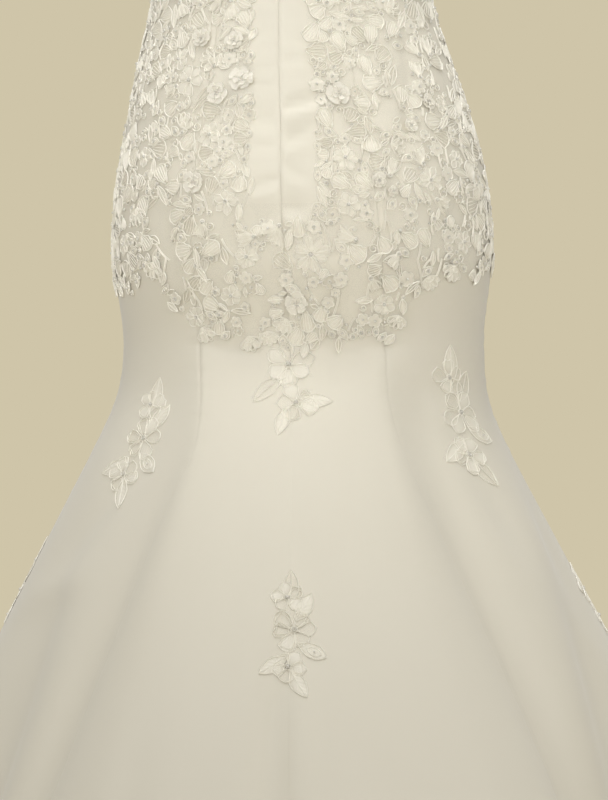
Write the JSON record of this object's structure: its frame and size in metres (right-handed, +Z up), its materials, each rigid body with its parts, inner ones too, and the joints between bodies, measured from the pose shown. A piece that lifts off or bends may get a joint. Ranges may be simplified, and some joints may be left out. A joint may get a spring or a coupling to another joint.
{
  "type": "wedding gown",
  "caption": "Trumpet wedding gown in satin with floral lace, a sweetheart top, a gored flared skirt and a closed back zip, hollow as worn.",
  "frame": {"origin": "centre of the waist, where the wearer's body holds the gown up", "axes": "+Z up, -Y out of the gown's back, +X towards the wearer's right"},
  "size_m": [1.0437, 0.9611, 1.3629],
  "materials": {
    "satin": "soft ivory satin",
    "lace": "corded and beaded lace on net",
    "beads": "pearl beads and clear sequins",
    "zip_tape": "woven tape",
    "zip_metal": "ivory enamel"
  },
  "bodies": {
    "gown": {"centre_back_right": "satin", "centre_back_left": "satin", "side_back_right": "satin", "side_back_left": "satin", "side_front_right": "satin", "side_front_left": "satin", "centre_front": "satin", "lace_back": "lace", "lace_front": "lace", "motif_back_centre": "lace", "motif_back_right": "lace", "motif_back_left": "lace", "motif_side_right": "lace", "motif_side_left": "lace", "motif_front_right": "lace", "motif_front_left": "lace", "motif_front_centre": "lace", "zip_tape": "zip_tape", "zip_slider": "zip_metal"},
    "pull_tab": {"zip_pull": "zip_metal"}
  },
  "joints": [
    {"name": "pull_swing", "type": "hinge", "parent": "gown", "child": "pull_tab", "pos_m": [0, -0.09671, 0.146], "axis": [-1, 0, 0], "range_deg": [0, 150]}
  ]
}
